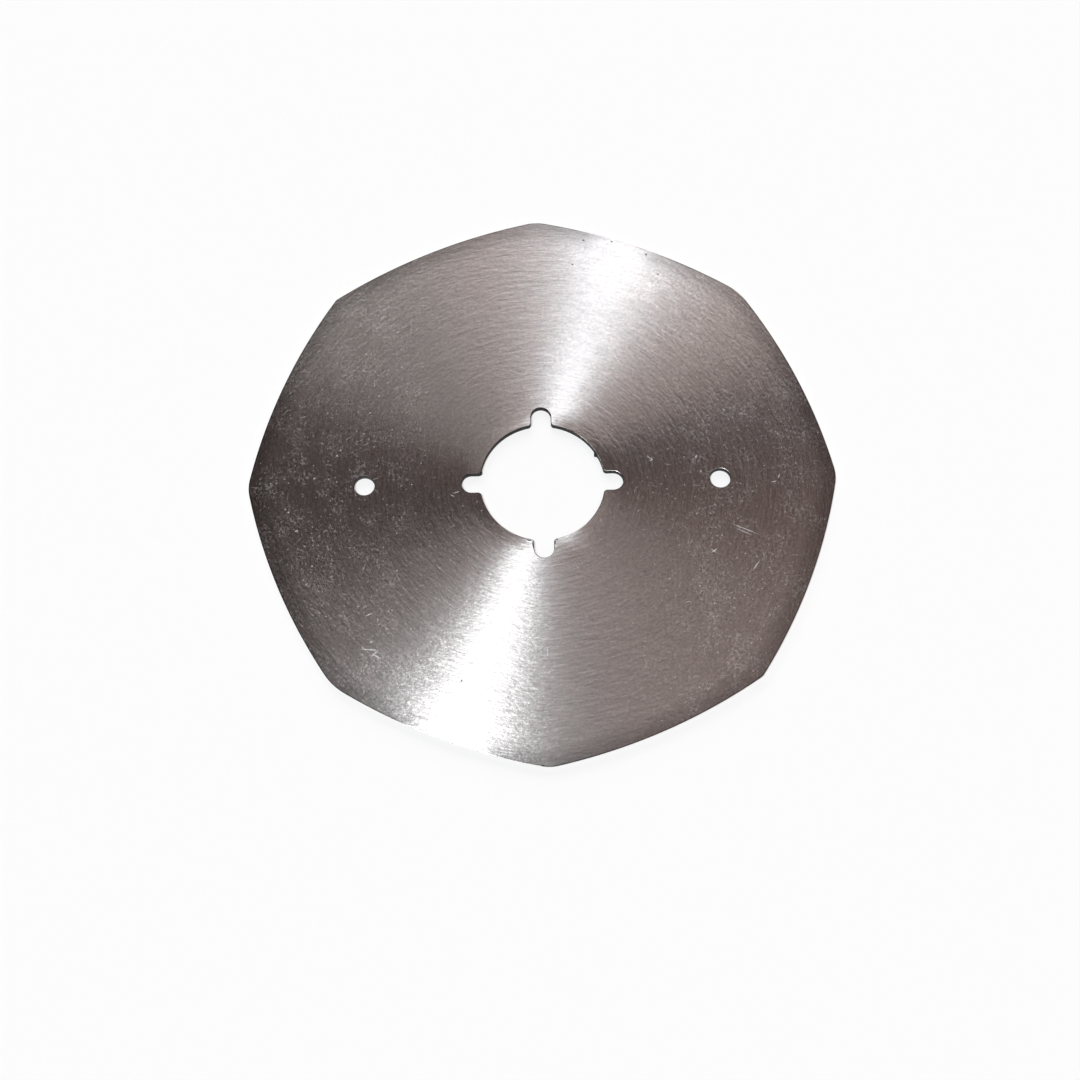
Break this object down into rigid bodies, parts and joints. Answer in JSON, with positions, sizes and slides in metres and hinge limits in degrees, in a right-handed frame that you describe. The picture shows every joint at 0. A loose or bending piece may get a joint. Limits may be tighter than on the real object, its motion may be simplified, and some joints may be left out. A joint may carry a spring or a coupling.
{
  "type": "circular knife",
  "caption": "Flat octagonal knife for a rotary cloth cutter, with bowed sides, a keyed centre bore, pin holes and an edge bevelled from one side.",
  "frame": {"origin": "on the axis of the bore at the back face, on which the knife lies", "axes": "+Z along the bore out of the flat front face, X through the two pin holes"},
  "size_m": [0.0998, 0.0998, 0.0012],
  "materials": {
    "blade_steel": "ground in rings about the bore, satin, slightly worn"
  },
  "bodies": {
    "root": {"blade": "blade_steel"}
  },
  "joints": []
}
